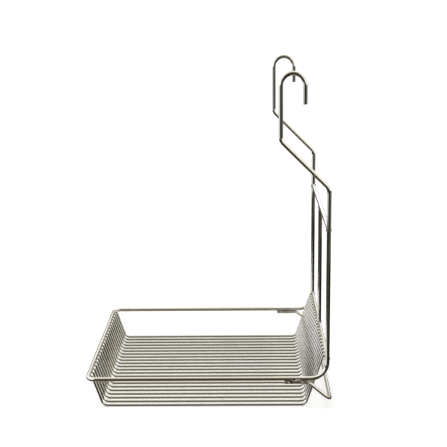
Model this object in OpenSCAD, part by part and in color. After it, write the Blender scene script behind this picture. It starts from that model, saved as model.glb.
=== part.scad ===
// Hanging wire caddy: an open tray of bent wires on a hooked wire frame.
// The caddy stands on its floor wires. +X points to the wall, +Y runs along the wall, +Z is up.
// The origin is at the middle of the footprint, at the underside of the floor wires.

/* [Tray] */
// Reach of the tray, from the outer rim wire to the uprights, centre to centre
tray_reach = 275; // [200:1:330]
// Width of the tray along the wall, from rim to rim, centre to centre
tray_width = 250; // [180:1:320]
// Drop from the rim wire to the floor wires, centre to centre
tray_drop = 36; // [28:0.5:60]
// Lean of the two end walls, in degrees from upright
wall_lean = 18.5; // [8:0.5:24]
// Number of floor wires
floor_wires = 22; // [8:1:24]
// Diameter of a floor wire
floor_wire_d = 2.8; // [2:0.1:3.4]
// Bend radius of a floor wire, on its centre line
floor_bend_r = 7; // [4:0.5:12]
// From a long rim to the nearest floor wire, centre to centre
floor_inset = 10; // [7:0.5:20]
// How far a floor wire stands above the middle of the outer rim wire
rim_tip = 1; // [0:0.5:3]
// How far a floor wire stands above the middle of the back bar
bar_tip = 3; // [0:0.5:5]
// Chamfer on the cut ends of a floor wire
floor_chamfer = 0.4; // [0.1:0.1:0.8]

/* [Frame] */
// Diameter of the frame wire
frame_d = 5; // [4:0.1:6]
// Bend radius at the two outer corners of the rim, on the centre line
rim_corner_r = 9; // [6:0.5:15]
// Bend radius where a rim turns up into an upright, on the centre line
foot_bend_r = 19.5; // [10:0.5:24]
// Rise from the rim to the bend where an upright starts to lean out
jog_rise = 221; // [185:1:270]
// Sideways step from the uprights to the hooks
jog_step = 53; // [40:1:70]
// Slope of that step, in degrees from level
jog_slope = 45; // [35:1:55]
// Bend radius at both ends of the step, on the centre line
jog_bend_r = 11; // [7:0.5:16]
// Rise from the rim to the top of a hook
hook_rise = 346.5; // [300:0.5:420]
// Distance between the two legs of a hook, centre to centre
hook_span = 26; // [18:0.5:32]
// Height of a hook, from its tip to the middle of its top
hook_drop = 33.5; // [20:0.5:45]
// Chamfer on the cut ends of the frame wire and of the spacer
tip_chamfer = 0.5; // [0.1:0.1:1]

/* [Bars] */
// Diameter of the back bar, the upper bar and the centre strut
bar_d = 5; // [3:0.1:6]
// Rise from the rim to the back bar, centre to centre
back_bar_rise = 23; // [23:0.5:60]
// Rise from the rim to the upper bar, centre to centre
upper_bar_rise = 174.5; // [100:0.5:210]

/* [Wall spacer] */
// Diameter of the spacer wire
spacer_d = 4; // [3:0.1:5]
// How far the spacer stands out past the uprights, towards the wall
spacer_proud = 3.5; // [1:0.5:12]
// Drop from the rim to the level run of the spacer, centre to centre
spacer_drop = 26; // [15:0.5:30]
// Level distance that a spacer leg takes to come down from the rim
spacer_fall = 25; // [18:0.5:35]
// Length of leg that lies along the rim, from its cut end to the knee
spacer_grip = 28; // [15:1:60]
// Bend radius at a knee, on the centre line
spacer_knee_r = 12; // [6:0.5:16]
// Bend radius at the two lower corners, on the centre line
spacer_corner_r = 7; // [5:0.5:12]

/* [Welds] */
// Gap that is left for the weld between two wires
weld_gap = 0.1; // [0.05:0.05:0.3]

/* [Hidden] */
$fn = 48;

// A bend draws the wire this much thinner, and the straight wire laps this far into it
bend_thinning = 0.02;
bend_lap = 0.05;

// Heights of the centre lines
floor_z = floor_wire_d / 2;
rim_z = floor_z + tray_drop;
back_bar_z = rim_z + back_bar_rise;
upper_bar_z = rim_z + upper_bar_rise;
jog_foot_z = rim_z + jog_rise;
jog_head_z = jog_foot_z + jog_step * tan(jog_slope);
hook_top_z = rim_z + hook_rise;
hook_tip_z = hook_top_z - hook_drop;

// Places along X of the centre lines
spacer_offset = frame_d / 2 + spacer_proud - spacer_d / 2;
outer_reach = frame_d / 2 + tray_reach + spacer_offset + spacer_d / 2;
rim_x = frame_d / 2 - outer_reach / 2;
upright_x = rim_x + tray_reach;
spacer_x = upright_x + spacer_offset;
hook_leg_x = upright_x - jog_step;
hook_tip_x = hook_leg_x + hook_span;

// The long rims and everything in line with them lie at this distance from the middle
side_y = tray_width / 2;

// A floor wire lies against the inner side of the outer rim wire and of the back bar
rim_touch = (frame_d + floor_wire_d) / 2 + weld_gap;
bar_touch = (bar_d + floor_wire_d) / 2 + weld_gap;
floor_left_x = rim_x + rim_touch / cos(wall_lean) + tray_drop * tan(wall_lean);
floor_right_x = upright_x - bar_touch / cos(wall_lean)
    - (tray_drop + back_bar_rise) * tan(wall_lean);
rim_tip_rise = tray_drop + rim_tip;
bar_tip_rise = tray_drop + back_bar_rise + bar_tip;

// Floor wires are spread evenly between the long rims
floor_pitch = (tray_width - 2 * floor_inset) / (floor_wires - 1);

function wire_name(i) = str("floor_wire_", i < 10 ? "0" : "", i);

// ---- Wire bending ----

function unit(v) = v / norm(v);

// Angle through which a wire turns at corner b, on its way from a to c
function turn_at(a, b, c) = acos(max(-1, min(1, unit(b - a) * unit(c - b))));

// Length that a bend takes from each of its two legs
function bend_reach(points, radii, i) =
    i == 0 || i == len(points) - 1
        ? 0
        : radii[i] * tan(turn_at(points[i - 1], points[i], points[i + 1]) / 2);

// Straight length of wire from a to b. Its end at a can be chamfered.
module rod(a, b, d, chamfer = 0) {
    v = b - a;
    h = norm(v);
    r = d / 2;
    translate(a)
        rotate([0, acos(v.z / h), atan2(v.y, v.x)])
            if (chamfer > 0)
                rotate_extrude()
                    polygon([[0, 0], [r - chamfer, 0], [r, chamfer], [r, h], [0, h]]);
            else
                cylinder(h = h, r = r);
}

// Bend at corner b between the leg that comes from a and the leg that goes to c
module bend(a, b, c, r, d) {
    turn = turn_at(a, b, c);
    ahead = unit(b - a);
    inward = unit(unit(c - b) - ahead * cos(turn));
    axle = cross(ahead, inward);
    middle = b - ahead * r * tan(turn / 2) + inward * r;
    multmatrix([
        [-inward.x, ahead.x, axle.x, middle.x],
        [-inward.y, ahead.y, axle.y, middle.y],
        [-inward.z, ahead.z, axle.z, middle.z],
        [0, 0, 0, 1]
    ])
        rotate_extrude(angle = turn)
            translate([r, 0])
                circle(d = d);
}

// One wire of diameter d, bent at each inner point with that point's radius.
// Each straight length laps a hair into its bends, and the bends are a hair thinner than it.
// A chamfer, where one is given, is cut on both ends of the wire.
module bent_wire(points, radii, d, chamfer = 0) {
    last = len(points) - 1;
    for (i = [0 : last - 1]) {
        ahead = unit(points[i + 1] - points[i]);
        a = points[i] + ahead * (bend_reach(points, radii, i) - (i == 0 ? 0 : bend_lap));
        b = points[i + 1]
            - ahead * (bend_reach(points, radii, i + 1) - (i == last - 1 ? 0 : bend_lap));
        if (i == last - 1)
            rod(b, a, d, chamfer);
        else
            rod(a, b, d, i == 0 ? chamfer : 0);
    }
    for (i = [1 : last - 1])
        bend(points[i - 1], points[i], points[i + 1], radii[i], d - bend_thinning);
}

// ---- Pieces ----

// Half of the frame wire, from the tip of one hook to the outer corner of the rim.
// Each entry is [x, z, bend radius]. The whole wire is this half and its mirror image.
frame_half = [
    [hook_tip_x, hook_tip_z, 0],
    [hook_tip_x, hook_top_z, hook_span / 2],
    [hook_leg_x, hook_top_z, hook_span / 2],
    [hook_leg_x, jog_head_z, jog_bend_r],
    [upright_x, jog_foot_z, jog_bend_r],
    [upright_x, rim_z, foot_bend_r],
    [rim_x, rim_z, rim_corner_r]
];

module frame_wire() {
    last = len(frame_half) - 1;
    points = concat(
        [for (p = frame_half) [p[0], -side_y, p[1]]],
        [for (i = [last : -1 : 0]) [frame_half[i][0], side_y, frame_half[i][1]]]
    );
    radii = concat(
        [for (p = frame_half) p[2]],
        [for (i = [last : -1 : 0]) frame_half[i][2]]
    );
    color("gray")
        bent_wire(points, radii, frame_d, tip_chamfer);
}

// Floor wire number i, counted from the front rim
module floor_wire(i) {
    y = -side_y + floor_inset + (i - 1) * floor_pitch;
    points = [
        [floor_left_x - rim_tip_rise * tan(wall_lean), y, floor_z + rim_tip_rise],
        [floor_left_x, y, floor_z],
        [floor_right_x, y, floor_z],
        [floor_right_x + bar_tip_rise * tan(wall_lean), y, floor_z + bar_tip_rise]
    ];
    color("silver")
        bent_wire(points, [0, floor_bend_r, floor_bend_r, 0], floor_wire_d, floor_chamfer);
}

// Bar between the two uprights, butted against their inner sides
module cross_bar(z) {
    reach = side_y - frame_d / 2 - weld_gap;
    rod([upright_x, -reach, z], [upright_x, reach, z], bar_d);
}

module back_bar() {
    color("gray")
        cross_bar(back_bar_z);
}

module upper_bar() {
    color("gray")
        cross_bar(upper_bar_z);
}

module centre_strut() {
    seat = bar_d / 2 + weld_gap;
    color("gray")
        rod([upright_x, 0, back_bar_z + seat], [upright_x, 0, upper_bar_z - seat], bar_d);
}

// U-shaped wire under the rims. Its two legs lie along the rims, and its level run bears on the wall.
module wall_spacer() {
    grip_z = rim_z - (frame_d + spacer_d) / 2 - weld_gap;
    run_z = rim_z - spacer_drop;
    knee_x = spacer_x - spacer_fall;
    half = [
        [knee_x - spacer_grip, grip_z, 0],
        [knee_x, grip_z, spacer_knee_r],
        [spacer_x, run_z, spacer_corner_r]
    ];
    points = concat(
        [for (p = half) [p[0], -side_y, p[1]]],
        [for (i = [2 : -1 : 0]) [half[i][0], side_y, half[i][1]]]
    );
    radii = concat([for (p = half) p[2]], [for (i = [2 : -1 : 0]) half[i][2]]);
    color("gray")
        bent_wire(points, radii, spacer_d, tip_chamfer);
}

frame_wire();
back_bar();
upper_bar();
centre_strut();
wall_spacer();
for (i = [1 : floor_wires])
    floor_wire(i);
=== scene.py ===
"""Hanging wire shower caddy: the finish of its chromed wires, its welds, and the studio it stands in."""

import math

import bmesh
import bpy
from mathutils import Matrix, Vector, noise


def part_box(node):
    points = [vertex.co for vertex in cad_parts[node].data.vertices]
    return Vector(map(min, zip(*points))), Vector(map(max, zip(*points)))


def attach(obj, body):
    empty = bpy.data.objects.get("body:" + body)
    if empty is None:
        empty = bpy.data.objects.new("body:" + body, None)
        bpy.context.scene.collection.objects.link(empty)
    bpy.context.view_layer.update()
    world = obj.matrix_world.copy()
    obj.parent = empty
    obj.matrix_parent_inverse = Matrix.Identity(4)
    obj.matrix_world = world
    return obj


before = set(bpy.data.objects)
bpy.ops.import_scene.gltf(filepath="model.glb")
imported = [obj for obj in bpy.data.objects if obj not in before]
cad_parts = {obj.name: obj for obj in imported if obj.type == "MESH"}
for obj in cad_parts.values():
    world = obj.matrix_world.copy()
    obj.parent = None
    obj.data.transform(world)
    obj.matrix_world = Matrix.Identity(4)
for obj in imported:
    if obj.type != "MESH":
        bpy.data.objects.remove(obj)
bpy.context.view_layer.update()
mm = 0.001

# ---- Frame wire ----
# One 5 mm low-carbon steel wire, cold drawn, bent on a wire former into hooks, steps, uprights and
# rims, then nickel and bright chrome plated after welding. The arc that joins the wall spacer to the
# front rim scorches both and spits on them.


def linear(hex_colour):
    """Linear red, green, blue and alpha of an sRGB hex colour."""
    shares = [int(hex_colour[i : i + 2], 16) / 255 for i in (1, 3, 5)]
    return [s / 12.92 if s <= 0.04045 else ((s + 0.055) / 1.055) ** 2.4 for s in shares] + [1]


def add(tree, kind, inputs=(), **settings):
    """Adds a node. Settings are its own options, and inputs are values or the sockets that feed it."""
    node = tree.nodes.new(kind)
    for name, value in settings.items():
        setattr(node, name, value)
    for name, value in dict(inputs).items():
        if isinstance(value, bpy.types.NodeSocket):
            tree.links.new(value, node.inputs[name])
        else:
            node.inputs[name].default_value = value
    return node


def new_material(name):
    """An empty material and its node tree."""
    material = bpy.data.materials.new(name)
    material.use_nodes = True
    material.node_tree.nodes.clear()
    return material, material.node_tree


# The front seam lies on the spacer's leg, and the scorched patch is a long oval round its upper edge
spacer_r = 2.0 * mm
spacer_low, spacer_high = [Vector(corner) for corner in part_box("wall_spacer")]
leg_y = spacer_high.y - spacer_r
seam_start = spacer_low.x + 5.6 * mm
seam_length = 15.2 * mm
patch_out, patch_up = 1.0 * mm, 0.4 * mm
patch_middle = (seam_start + seam_length / 2, -leg_y - patch_out, spacer_high.z + patch_up)
patch_half_height, patch_fade = 3.0 * mm, 0.8 * mm
patch_narrowness = 0.42

# Sizes of what marks the plate, and how much rougher it is in a crook and where it is scorched
drawing_wave = 9.0 * mm
orange_peel, peel_depth = 0.5 * mm, 0.0012 * mm
film_patch = 4.0 * mm
crook_reach = 1.6 * mm
spatter_size = 1.6 * mm
crook_roughness, scorch_roughness = 0.22, 0.25


def bright_chrome(name, plate, crook, wave_depth, haze):
    """Nickel and bright chrome on drawn wire: a near mirror with long soft waves from the drawing
    die and a fine orange peel from the plating bath. It is warmer and duller deep in each weld, and
    round the front seam it is scorched brown and flecked with pale spatter."""
    material, tree = new_material(name)
    place = add(tree, "ShaderNodeTexCoord").outputs["Object"]

    # Warmer plate where another wire is close, because the bath hardly reaches into the crook
    near = add(tree, "ShaderNodeAmbientOcclusion", {"Distance": crook_reach}, samples=8)
    depth = add(
        tree,
        "ShaderNodeMapRange",
        {"Value": near.outputs["AO"], "From Min": 0.25, "From Max": 0.85, "To Min": 1.0, "To Max": 0.0},
    ).outputs["Result"]
    tint = add(
        tree,
        "ShaderNodeMix",
        {"Factor": depth, "A": linear(plate), "B": linear(crook)},
        data_type="RGBA",
    )

    # Heat is 1 in the patch round the front seam, and noise breaks it up into scorch and spatter
    flecks = add(tree, "ShaderNodeTexNoise", {"Vector": place, "Scale": 1 / spatter_size, "Detail": 3.0})
    far = add(tree, "ShaderNodeVectorMath", {0: place, 1: patch_middle}, operation="SUBTRACT")
    oval = add(
        tree,
        "ShaderNodeVectorMath",
        {0: far.outputs[0], 1: (patch_narrowness, 1, 1)},
        operation="MULTIPLY",
    )
    length = add(tree, "ShaderNodeVectorMath", {0: oval.outputs[0]}, operation="LENGTH")
    heat = add(
        tree,
        "ShaderNodeMapRange",
        {
            "Value": length.outputs["Value"],
            "From Min": patch_half_height,
            "From Max": patch_half_height + patch_fade,
            "To Min": 1.0,
            "To Max": 0.0,
        },
    ).outputs["Result"]
    soot = add(
        tree,
        "ShaderNodeMapRange",
        {"Value": flecks.outputs["Fac"], "From Min": 0.42, "From Max": 0.55, "To Min": 0.0, "To Max": 0.85},
    )
    scorch = add(
        tree, "ShaderNodeMath", {0: heat, 1: soot.outputs["Result"]}, operation="MULTIPLY"
    ).outputs["Value"]
    burnt = add(
        tree,
        "ShaderNodeMix",
        {"Factor": scorch, "A": tint.outputs["Result"], "B": linear("#5d4c42")},
        data_type="RGBA",
    )
    drops = add(
        tree,
        "ShaderNodeMapRange",
        {"Value": flecks.outputs["Fac"], "From Min": 0.44, "From Max": 0.48, "To Min": 1.0, "To Max": 0.0},
    )
    spatter = add(
        tree, "ShaderNodeMath", {0: heat, 1: drops.outputs["Result"]}, operation="MULTIPLY"
    ).outputs["Value"]
    colour = add(
        tree,
        "ShaderNodeMix",
        {"Factor": spatter, "A": burnt.outputs["Result"], "B": linear("#f2eee6")},
        data_type="RGBA",
    )
    plated = add(tree, "ShaderNodeMapRange", {"Value": spatter, "To Min": 1.0, "To Max": 0.3})

    # A thin haze in patches, with more roughness in the crooks and under the scorch
    film = add(tree, "ShaderNodeTexNoise", {"Vector": place, "Scale": 1 / film_patch, "Detail": 5.0})
    hazy = add(
        tree,
        "ShaderNodeMapRange",
        {"Value": film.outputs["Fac"], "From Min": 0.35, "From Max": 0.7, "To Min": 0.02, "To Max": haze},
    )
    crook_dull = add(
        tree,
        "ShaderNodeMath",
        {0: depth, 1: crook_roughness, 2: hazy.outputs["Result"]},
        operation="MULTIPLY_ADD",
    )
    dull = add(
        tree,
        "ShaderNodeMath",
        {0: scorch, 1: scorch_roughness, 2: crook_dull.outputs["Value"]},
        operation="MULTIPLY_ADD",
    )

    # Waves and orange peel bend what the plate mirrors
    waves = add(tree, "ShaderNodeTexNoise", {"Vector": place, "Scale": 1 / drawing_wave, "Detail": 1.0})
    peel = add(tree, "ShaderNodeTexNoise", {"Vector": place, "Scale": 1 / orange_peel, "Detail": 3.0})
    swell = add(
        tree,
        "ShaderNodeBump",
        {"Height": waves.outputs["Fac"], "Distance": wave_depth, "Strength": 1.0},
    )
    grain = add(
        tree,
        "ShaderNodeBump",
        {"Height": peel.outputs["Fac"], "Distance": peel_depth, "Normal": swell.outputs["Normal"]},
    )
    metal = add(
        tree,
        "ShaderNodeBsdfPrincipled",
        {
            "Base Color": colour.outputs["Result"],
            "Metallic": plated.outputs["Result"],
            "Roughness": dull.outputs["Value"],
            "Normal": grain.outputs["Normal"],
        },
    )
    add(tree, "ShaderNodeOutputMaterial", {"Surface": metal.outputs["BSDF"]})
    return material


def finish_node(name, material):
    """Gives a CAD node its finish."""
    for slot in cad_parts[name].material_slots:
        slot.material = material


# A slightly warm silver mirror, sand-coloured in the crooks
frame_chrome = bright_chrome(
    "bright_chrome_on_drawn_wire", "#f0efec", "#a0978a", wave_depth=0.02 * mm, haze=0.05
)
finish_node("frame_wire", frame_chrome)

# ---- Back bar, upper bar and centre strut ----
# Straight lengths of the same 5 mm wire, sheared square and butt welded: the bars between the two
# uprights, the strut between the bars.
for name in ("back_bar", "upper_bar", "centre_strut"):
    finish_node(name, frame_chrome)

# ---- Floor wires ----
# Thin 2.8 mm wires, each bent to a flat U and resistance welded to the rim and to the back bar.
# Their plate has flatter waves than the thick wire's, a little more haze and browner crooks.
floor_chrome = bright_chrome(
    "bright_chrome_on_thin_wire", "#f0efec", "#978e78", wave_depth=0.015 * mm, haze=0.06
)
floor_names = sorted(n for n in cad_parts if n.startswith("floor_wire_"))
for name in floor_names:
    finish_node(name, floor_chrome)

# ---- Wall spacer ----
# A 4 mm wire bent to a U, welded along the underside of both long rims. Its level run bears on the
# wall, and it is plated together with the frame.
finish_node("wall_spacer", frame_chrome)

# ---- Spot welds of the floor wires ----
# Each floor wire is pressed on the rim and on the back bar with a current through both. A little
# molten steel squeezes out round every contact and is plated over, so it shines but is lumpy.
wire_r = 2.5 * mm
weld_gap = 0.1 * mm
wall_lean = math.radians(18.5)
nugget_half = (0.75 * mm, 1.7 * mm, 1.9 * mm)
bead_ripple, ripple_depth = 0.5 * mm, 0.05 * mm


def weld_bead(name, bright, burnt, spot, shine, frost, plated=1.0):
    """Plate over rough weld metal: in spots of one size it goes from the bright colour and shine to
    the burnt colour and frost. Plated is how much of a metal it looks."""
    material, tree = new_material(name)
    place = add(tree, "ShaderNodeTexCoord").outputs["Object"]
    scale = add(tree, "ShaderNodeTexNoise", {"Vector": place, "Scale": 1 / spot, "Detail": 4.0})
    burn = add(
        tree,
        "ShaderNodeMapRange",
        {"Value": scale.outputs["Fac"], "From Min": 0.4, "From Max": 0.6},
    ).outputs["Result"]
    tint = add(
        tree,
        "ShaderNodeMix",
        {"Factor": burn, "A": linear(bright), "B": linear(burnt)},
        data_type="RGBA",
    )
    dull = add(tree, "ShaderNodeMapRange", {"Value": burn, "To Min": shine, "To Max": frost})
    ripple = add(tree, "ShaderNodeTexNoise", {"Vector": place, "Scale": 1 / bead_ripple, "Detail": 2.0})
    bump = add(tree, "ShaderNodeBump", {"Height": ripple.outputs["Fac"], "Distance": ripple_depth})
    metal = add(
        tree,
        "ShaderNodeBsdfPrincipled",
        {
            "Base Color": tint.outputs["Result"],
            "Metallic": plated,
            "Roughness": dull.outputs["Result"],
            "Normal": bump.outputs["Normal"],
        },
    )
    add(tree, "ShaderNodeOutputMaterial", {"Surface": metal.outputs["BSDF"]})
    return material


def weld_piece(name, shape, finish, lump_height, lump_size):
    """Makes a weld of a shape: its skin swells and sinks in lumps, and it belongs to the root body."""
    shape.normal_update()
    for v in shape.verts:
        v.co += v.normal * noise.noise(v.co / lump_size) * lump_height
    mesh = bpy.data.meshes.new(name)
    shape.to_mesh(mesh)
    shape.free()
    for face in mesh.polygons:
        face.use_smooth = True
    mesh.materials.append(finish)
    piece = bpy.data.objects.new(name, mesh)
    bpy.context.scene.collection.objects.link(piece)
    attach(piece, "root")


def middle(name):
    """Middle of a CAD node's box."""
    low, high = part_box(name)
    return (Vector(low) + Vector(high)) / 2


def lump(shape, place):
    """A ball of radius 1 that its place also stretches to size."""
    bmesh.ops.create_icosphere(shape, subdivisions=3, radius=1.0, matrix=place)


def nugget(shape, bar_middle, lean_side):
    """A lens of squeezed-out steel between a floor wire and the bar that it leans on."""
    across = Vector((lean_side * math.cos(wall_lean), 0, math.sin(wall_lean)))
    along = Vector((-lean_side * math.sin(wall_lean), 0, math.cos(wall_lean)))
    spread = [axis * half for axis, half in zip((across, along, across.cross(along)), nugget_half)]
    contact = bar_middle + across * (wire_r + weld_gap / 2)
    lump(shape, Matrix.Translation(contact) @ Matrix(spread).transposed().to_4x4())


frame_low = Vector(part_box("frame_wire")[0])
rim_x, rim_z = frame_low.x + wire_r, frame_low.z + wire_r
back_bar = middle("back_bar")
# Pale chrome with dull brown spots, 1.1 mm across
bead_chrome = weld_bead(
    "chrome_over_weld_metal", "#e6e0d6", "#75695b", spot=1.1 * mm, shine=0.08, frost=0.35
)
nuggets = bmesh.new()
for name in floor_names:
    y = middle(name).y
    nugget(nuggets, Vector((rim_x, y, rim_z)), 1)
    nugget(nuggets, Vector((back_bar.x, y, back_bar.z)), -1)
weld_piece(
    "floor_wire_spot_welds",
    nuggets,
    bead_chrome,
    lump_height=0.25 * mm,
    lump_size=0.9 * mm,
)

# ---- Butt welds of the bars and the strut ----
# The sheared end of a bar is pushed against the side of the wire it joins until both melt. The
# upset metal makes a collar, thick in the two crooks and thin where the wires meet head on.
collar_steps = 40
collar_r, crook_swell = 0.55 * mm, 0.55 * mm
collar_out, crook_sink = 0.1 * mm, 0.35 * mm
crook_shift = 0.7 * mm


def bead(shape, centres, radii, up, closed):
    """A tube of weld metal through the centres, with its own radius at each of them."""
    around = 14
    turns = [2 * math.pi * k / around for k in range(around)]
    rings = []
    last = len(centres) - 1
    for i, (centre, radius) in enumerate(zip(centres, radii)):
        before = centres[i - 1] if closed or i else centre
        after = centres[(i + 1) % (last + 1)] if closed or i < last else centre
        ahead = (after - before).normalized()
        first = (up - ahead * up.dot(ahead)).normalized()
        second = ahead.cross(first)
        spokes = [first * math.cos(turn) + second * math.sin(turn) for turn in turns]
        rings.append([shape.verts.new(centre + spoke * radius) for spoke in spokes])
    for i in range(last + closed):
        ring, following = rings[i], rings[(i + 1) % (last + 1)]
        for k in range(around):
            j = (k + 1) % around
            shape.faces.new((ring[k], ring[j], following[j], following[k]))
    if not closed:
        shape.faces.new(rings[0][::-1])
        shape.faces.new(rings[-1])


def collar(shape, end, towards):
    """The bead round one end of a bar or of the strut."""
    side = Vector((1, 0, 0))
    over = side.cross(towards)
    centres, radii = [], []
    for i in range(collar_steps):
        turn = 2 * math.pi * i / collar_steps
        crook = math.cos(turn) ** 2
        reach = wire_r + collar_out - crook_sink * crook
        radial = side * math.cos(turn) + over * math.sin(turn)
        centres.append(end + towards * crook_shift * crook + radial * reach)
        radii.append(collar_r + crook_swell * crook)
    bead(shape, centres, radii, towards, True)


for name, axis in (("back_bar", 1), ("upper_bar", 1), ("centre_strut", 2)):
    collars = bmesh.new()
    centre = middle(name)
    for limit, sign in zip(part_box(name), (-1, 1)):
        end = centre.copy()
        end[axis] = limit[axis]
        towards = Vector((0, 0, 0))
        towards[axis] = sign
        collar(collars, end, towards)
    weld_piece(
        name + "_welds", collars, bead_chrome, lump_height=0.3 * mm, lump_size=1.3 * mm
    )

# ---- Seam welds of the wall spacer ----
# A short run of arc weld on both faces of each leg, where it lies under the rim. The arc leaves a
# rippled bead with a thicker lump at the start and at the stop.
seam_offset = 0.95 * mm
seam_drop = 1.1 * mm
seam_z = rim_z - wire_r - weld_gap - seam_drop
seam_r, ripple_height, ripple_pitch = 1.15 * mm, 0.1 * mm, 1.5 * mm
seam_steps = 52
end_squareness, end_least = 12, 0.02
stop_half, stop_sink = (0.8 * mm, 1.3 * mm, 1.3 * mm), 0.5 * mm
# The front bead is burnt nearly black between glints, and the rear one is an even, dull brown grey.
# All the stops are pale white, frosted and nearly matt, so that the light on them gives a painted highlight
# where the bead ends would glint.
dark_bead = weld_bead(
    "chrome_over_burnt_weld", "#c9bfb2", "#2e2722", spot=1.9 * mm, shine=0.05, frost=0.25
)
grey_bead = weld_bead(
    "dull_plate_over_weld", "#d6d0c6", "#8d8377", spot=1.4 * mm, shine=0.25, frost=0.45, plated=0.6
)
# Painted highlight: pale, nearly matt white weld stops that stand in for the glints on the bead ends
painted_glint_bead = weld_bead(
    "frosted_plate_with_painted_glint", "#ffffff", "#dfd8cc", spot=1.1 * mm, shine=0.35, frost=0.5, plated=0.15
)
for name, side, finish in (("front", -1, dark_bead), ("rear", 1, grey_bead)):
    seams, stops = bmesh.new(), bmesh.new()
    for y in (side * leg_y - seam_offset, side * leg_y + seam_offset):
        centres, radii = [], []
        for i in range(seam_steps + 1):
            share = i / seam_steps
            run = seam_length * share
            taper = math.sqrt(max(end_least, 1 - abs(2 * share - 1) ** end_squareness))
            wave = math.sin(2 * math.pi * run / ripple_pitch)
            centres.append(Vector((seam_start + run, y, seam_z)))
            radii.append((seam_r + ripple_height * wave) * taper)
        bead(seams, centres, radii, Vector((0, 0, 1)), False)
        for end in (seam_start, seam_start + seam_length):
            lump(stops, Matrix.Translation((end, y, seam_z - stop_sink)) @ Matrix.Diagonal((*stop_half, 1)))
    weld_piece(
        name + "_seam_welds", seams, finish, lump_height=0.25 * mm, lump_size=1.2 * mm
    )
    # The stops carry the painted highlight of pale, nearly matt white
    weld_piece(
        name + "_seam_stops", stops, painted_glint_bead, lump_height=0.15 * mm, lump_size=0.8 * mm
    )

# ---- Studio ----
# A white table under a white sky, lit by one large softbox from above. Polished wire shows only what
# is round it, so dark, grey and pale cards that nothing but the chrome sees lie on the table, stand
# round it and curve over it, and lie far beneath it for the mirror rays that pass through the table.
floor_half = 60.0
floor_drop, card_drop = 0.2 * mm, 0.1 * mm
floor_mesh = bpy.data.meshes.new("studio_floor")
floor_mesh.from_pydata(
    [(x * floor_half, y * floor_half, -floor_drop) for x, y in ((-1, -1), (1, -1), (1, 1), (-1, 1))],
    [],
    [(0, 1, 2, 3)],
)
studio_floor = bpy.data.objects.new("studio_floor", floor_mesh)
bpy.context.scene.collection.objects.link(studio_floor)


def seen_directly(tree):
    """1 for rays from the lens, from a mirror or through glass, and 0 for those that carry light."""
    ray = add(tree, "ShaderNodeLightPath")
    seen = ray.outputs["Is Camera Ray"]
    for kind in ("Is Glossy Ray", "Is Transmission Ray"):
        either = add(tree, "ShaderNodeMath", {0: seen, 1: ray.outputs[kind]}, operation="MAXIMUM")
        seen = either.outputs["Value"]
    return seen


# Matt paper that glows a little for the lens, so that it is white at the horizon. It glows least
# close to the caddy, where the shadow falls.
paper, tree = new_material("matt_white_paper")
spot = add(tree, "ShaderNodeTexCoord").outputs["Object"]
away = add(tree, "ShaderNodeVectorMath", {0: spot}, operation="LENGTH")
fade = add(
    tree,
    "ShaderNodeMapRange",
    {"Value": away.outputs["Value"], "From Min": 0.3, "From Max": 3.0, "To Min": 0.26, "To Max": 0.44},
)
lift = add(tree, "ShaderNodeEmission", {"Color": (1, 1, 1, 1), "Strength": fade.outputs["Result"]})
matt = add(tree, "ShaderNodeBsdfDiffuse", {"Color": (0.86, 0.86, 0.86, 1)})
glow = add(tree, "ShaderNodeAddShader", {0: lift.outputs[0], 1: matt.outputs[0]})
both = add(tree, "ShaderNodeMixShader", {0: seen_directly(tree), 1: matt.outputs[0], 2: glow.outputs[0]})
add(tree, "ShaderNodeOutputMaterial", {"Surface": both.outputs[0]})
floor_mesh.materials.append(paper)
studio_floor.visible_glossy = False


def card(name, corners, colour, strength=1.0):
    """A flat card that only the chrome sees: no camera ray, shadow or bounce of light meets it."""
    sheet_mesh = bpy.data.meshes.new(name)
    sheet_mesh.from_pydata(corners, [], [range(len(corners))])
    sheet = bpy.data.objects.new(name, sheet_mesh)
    bpy.context.scene.collection.objects.link(sheet)
    dye, tree = new_material(name + "_dye")
    shade = add(tree, "ShaderNodeEmission", {"Color": linear(colour), "Strength": strength})
    add(tree, "ShaderNodeOutputMaterial", {"Surface": shade.outputs[0]})
    sheet_mesh.materials.append(dye)
    sheet.visible_camera = False
    sheet.visible_diffuse = False
    sheet.visible_shadow = False


arc_steps = 24


def bearings(start, end):
    """Angles from one bearing to another. Bearing 0 is towards the camera, and 90 towards the wall
    side of the caddy."""
    return [math.radians(start + (end - start) * i / arc_steps) for i in range(arc_steps + 1)]


def table_card(name, start, end, near, far, colour):
    """A ring sector on the table, between two bearings and two distances from its middle."""
    rim = [(far * math.sin(b), -far * math.cos(b), -card_drop) for b in bearings(start, end)]
    inner = [(near * math.sin(b), -near * math.cos(b), -card_drop) for b in bearings(end, start)]
    card(name, rim + inner, colour)


def sky_card(name, start, end, low, high, colour, strength=1.0):
    """A curved card high round the table, between two bearings and two elevations."""
    reach = 8.0
    edge = []
    for elevation, way_round in ((low, (start, end)), (high, (end, start))):
        level = reach * math.cos(math.radians(elevation))
        up = reach * math.sin(math.radians(elevation))
        edge += [(level * math.sin(b), -level * math.cos(b), up) for b in bearings(*way_round)]
    card(name, edge, colour, strength)


def deep_card(name, outline, colour, depth=3.0):
    """A flat card far beneath the table."""
    card(name, [(x, y, -depth) for x, y in outline], colour)


def standing_card(name, left, right, foot, top, colour, strength=1.0):
    """An upright card behind or beside the caddy, from one end to the other."""
    card(name, [(*left, foot), (*right, foot), (*right, top), (*left, top)], colour, strength)


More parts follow.
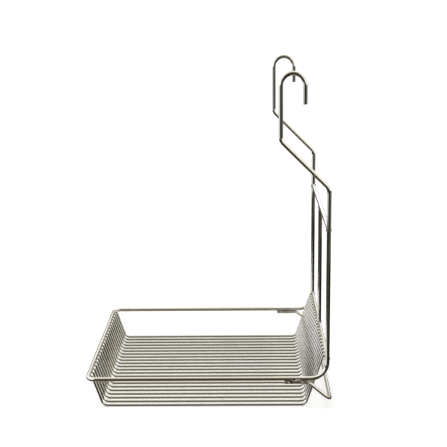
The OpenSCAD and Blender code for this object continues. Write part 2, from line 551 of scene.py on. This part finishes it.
# What the wires mirror is dark on the wall side and in front, pale beyond the outer end of the tray,
# and sandy and olive deep below. Bearings and elevations are in degrees, and distances in metres.
near_edge, left_near_edge, middle_edge, far_edge = 0.26, 0.2, 0.8, 8.0
table_card("dark_near_right_card", 45, 200, near_edge, middle_edge, "#12110e")
table_card("pale_near_back_card", 200, 225, near_edge, middle_edge, "#e2e2e6")
table_card("dark_near_front_card", -45, 45, near_edge, middle_edge, "#433f33")
table_card("dark_near_left_card", -135, -45, left_near_edge, middle_edge, "#34312d")
table_card("dark_far_front_card", -45, 45, middle_edge, far_edge, "#37332a")
table_card("grey_far_right_card", 45, 200, middle_edge, far_edge, "#727062")
table_card("pale_far_left_card", 200, 315, middle_edge, far_edge, "#e2e2e6")
deep_card("sandy_right_deep_card", ((5, -1.5), (20, -5), (20, 2), (5, 1)), "#a59d88")
deep_card("olive_deep_card", ((-80, -80), (80, -80), (80, 80), (-80, 80)), "#453e28", depth=3.01)
deep_card("pale_deep_card", ((-0.6, -0.6), (0.5, -0.6), (1.4, 6), (-1.6, 6)), "#a29c8d")
deep_card("pale_left_deep_card", ((-5, -6), (-5, 8), (-50, 80), (-80, 80), (-80, -60)), "#f0f0f4")
sky_card("grey_front_wall", -30, 40, 24, 70, "#938d7c")
sky_card("black_camera_flag", -20, 16, 0, 24, "#26221b")
sky_card("bright_left_wall", -125, -45, 0, 14, "#ffffff", strength=1.4)
standing_card("grey_back_left_card", (-0.6, 0.45), (0.0, 0.45), 0, 0.15, "#8f8d86")
standing_card("grey_back_card", (0.0, 0.45), (0.09, 0.45), 0, 0.25, "#6a6862")
standing_card("dark_back_right_card", (0.32, 0.36), (0.55, 0.2), 0, 0.2, "#3a3833")
standing_card("bright_back_card", (0.02, 0.4), (0.26, 0.4), 0.25, 0.46, "#ffffff", strength=1.25)

# The sky is white for the lens. A mirror sees it faintly cream, and faintly blue beyond the outer end
# of the tray, and it lights matt things at three quarters of white.
world = bpy.data.worlds.new("white_studio")
bpy.context.scene.world = world
world.use_nodes = True
tree = world.node_tree
tree.nodes.clear()
way = add(tree, "ShaderNodeTexCoord").outputs["Generated"]
across = add(tree, "ShaderNodeSeparateXYZ", {"Vector": way})
warmth = add(
    tree, "ShaderNodeMapRange", {"Value": across.outputs["X"], "From Min": -0.8, "From Max": -0.35}
)
mirrored = add(
    tree,
    "ShaderNodeMix",
    {"Factor": warmth.outputs["Result"], "A": linear("#fcfcff"), "B": linear("#fffcef")},
    data_type="RGBA",
)
ray = add(tree, "ShaderNodeLightPath")
shown = add(
    tree,
    "ShaderNodeMix",
    {"Factor": ray.outputs["Is Camera Ray"], "A": mirrored.outputs["Result"], "B": (1, 1, 1, 1)},
    data_type="RGBA",
)
backdrop = add(tree, "ShaderNodeBackground", {"Color": shown.outputs["Result"], "Strength": 1.0})
air = add(tree, "ShaderNodeBackground", {"Color": (1, 1, 1, 1), "Strength": 0.75})
sky = add(tree, "ShaderNodeMixShader", {0: seen_directly(tree), 1: air.outputs[0], 2: backdrop.outputs[0]})
add(tree, "ShaderNodeOutputWorld", {"Surface": sky.outputs[0]})

# An area lamp's watts follow from the brightness that it has and from its size
lamp_side, lamp_brightness = 2.4, 0.8
lamp_place, lamp_target = Vector((0, 0.1, 1.6)), Vector((0, 0, 0.1))
lamp = bpy.data.lights.new("top_softbox", "AREA")
lamp.size = lamp_side
lamp.energy = lamp_brightness * math.pi * lamp_side**2
lamp.color = linear("#fffdf8")[:3]
softbox = bpy.data.objects.new("top_softbox", lamp)
softbox.location = lamp_place
softbox.rotation_euler = (lamp_target - lamp_place).to_track_quat("-Z", "Y").to_euler()
softbox.visible_glossy = False
bpy.context.scene.collection.objects.link(softbox)

# ---- Camera ----
# A long lens a little above the hooks, nearly square to the long rims and tilted down to the tray. It
# stands about 1.2 m away, so that the rear of the caddy looks a little smaller than its front.
camera_place = (43.6 * mm, -1182.4 * mm, 476.0 * mm)
turn, tilt, roll = 1.291, -13.591, -0.748
long_lens = bpy.data.cameras.new("camera")
long_lens.lens = 79.6
long_lens.sensor_width = 36.0
camera = bpy.data.objects.new("camera", long_lens)
camera.matrix_world = (
    Matrix.Translation(camera_place)
    @ Matrix.Rotation(math.radians(turn), 4, "Z")
    @ Matrix.Rotation(math.radians(90 + tilt), 4, "X")
    @ Matrix.Rotation(math.radians(roll), 4, "Z")
)
bpy.context.scene.collection.objects.link(camera)
bpy.context.scene.camera = camera
bpy.context.scene.view_settings.view_transform = "Standard"
